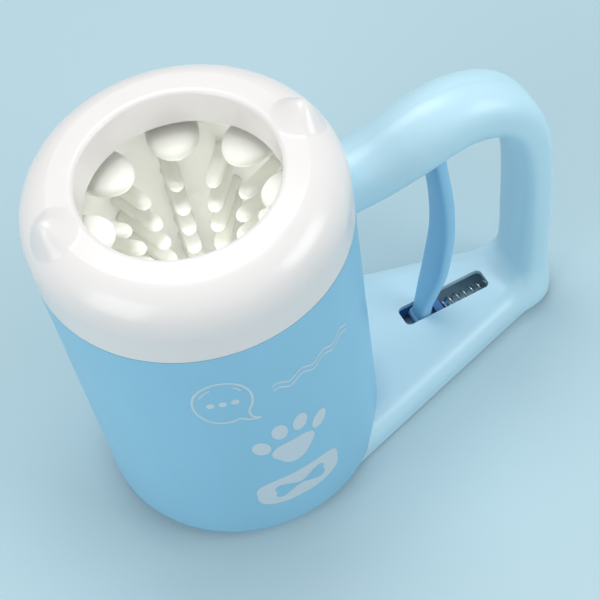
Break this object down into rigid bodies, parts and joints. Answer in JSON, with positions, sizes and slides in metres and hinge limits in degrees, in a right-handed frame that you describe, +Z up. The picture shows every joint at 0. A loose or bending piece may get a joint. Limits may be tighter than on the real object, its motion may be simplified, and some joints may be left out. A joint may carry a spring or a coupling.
{
  "type": "paw washer cup",
  "caption": "Handheld paw washing cup: blue cup with a white lift-off collar, a silicone brush that rotates inside, and a side handle whose squeeze trigger turns the brush.",
  "frame": {"origin": "on the cup's axis, at the plane that the cup stands on", "axes": "+X from the cup's axis towards the handle, +Z up out of the paw opening, +Y to the left of the handle seen from the cup"},
  "size_m": [0.1743, 0.1002, 0.1439],
  "materials": {
    "cup_blue": "satin moulded plastic",
    "handle_blue": "satin moulded plastic",
    "trigger_blue": "satin moulded plastic",
    "collar_white": "smooth gloss",
    "silicone": "soft translucent silicone",
    "drum_plastic": "milky translucent plastic",
    "gear_plastic": "plain moulded acetal",
    "rubber_grey": "matt rubber",
    "steel": "plain steel",
    "brass": "sintered bush"
  },
  "bodies": {
    "housing": {"cup_body": "cup_blue", "base_cover": "handle_blue", "base_pad": "rubber_grey", "tip_pad": "rubber_grey", "handle_shell_left": "handle_blue", "handle_shell_right": "handle_blue", "handle_screws": "steel", "base_screws": "steel", "lever_pivot_pin": "steel", "gear_axle": "steel", "spindle_bush": "brass", "spindle_seal": "rubber_grey", "collar_seal": "rubber_grey", "spring_seat": "gear_plastic", "return_spring": "steel"},
    "spindle": {"spindle_gear": "gear_plastic", "drive_hub": "gear_plastic", "hub_screw": "steel"},
    "drum": {"brush_drum": "drum_plastic", "silicone_brush": "silicone"},
    "wheel": {"compound_gear": "gear_plastic"},
    "rack": {"drive_rack": "gear_plastic"},
    "trigger": {"trigger_lever": "trigger_blue", "link_pin": "steel"},
    "collar": {"collar": "collar_white"}
  },
  "joints": [
    {"name": "spindle_spin", "type": "hinge", "parent": "housing", "child": "spindle", "pos_m": [0, 0, 0.012], "axis": [0, 0, 1], "range_deg": [0, 379.31]},
    {"name": "drum_lift", "type": "slide", "parent": "spindle", "child": "drum", "axis": [0, 0, 1], "range_m": [0, 0.105]},
    {"name": "wheel_spin", "type": "hinge", "parent": "housing", "child": "wheel", "pos_m": [0.024, 0, 0.012], "axis": [0, 0, 1], "range_deg": [-189.66, 0]},
    {"name": "rack_slide", "type": "slide", "parent": "housing", "child": "rack", "axis": [1, 0, 0], "range_m": [0, 0.01986], "stiffness_N_per_m": 150, "springref_m": -0.02, "deforming": ["return_spring"]},
    {"name": "trigger_squeeze", "type": "hinge", "parent": "housing", "child": "trigger", "pos_m": [0.0825, 0, 0.1015], "axis": [0, -1, 0], "range_deg": [0, 12]},
    {"name": "collar_lift", "type": "slide", "parent": "housing", "child": "collar", "axis": [0, 0, 1], "range_m": [0, 0.1261]}
  ],
  "couplings": [
    {"joint": "wheel_spin", "follows": "spindle_spin", "ratio": -0.5},
    {"joint": "rack_slide", "follows": "spindle_spin", "m_per_rad": 0.003},
    {"joint": "trigger_squeeze", "follows": "spindle_spin", "ratio": 0.031637},
    {"joint": "collar_lift", "follows": "drum_lift", "ratio": 1.2}
  ]
}
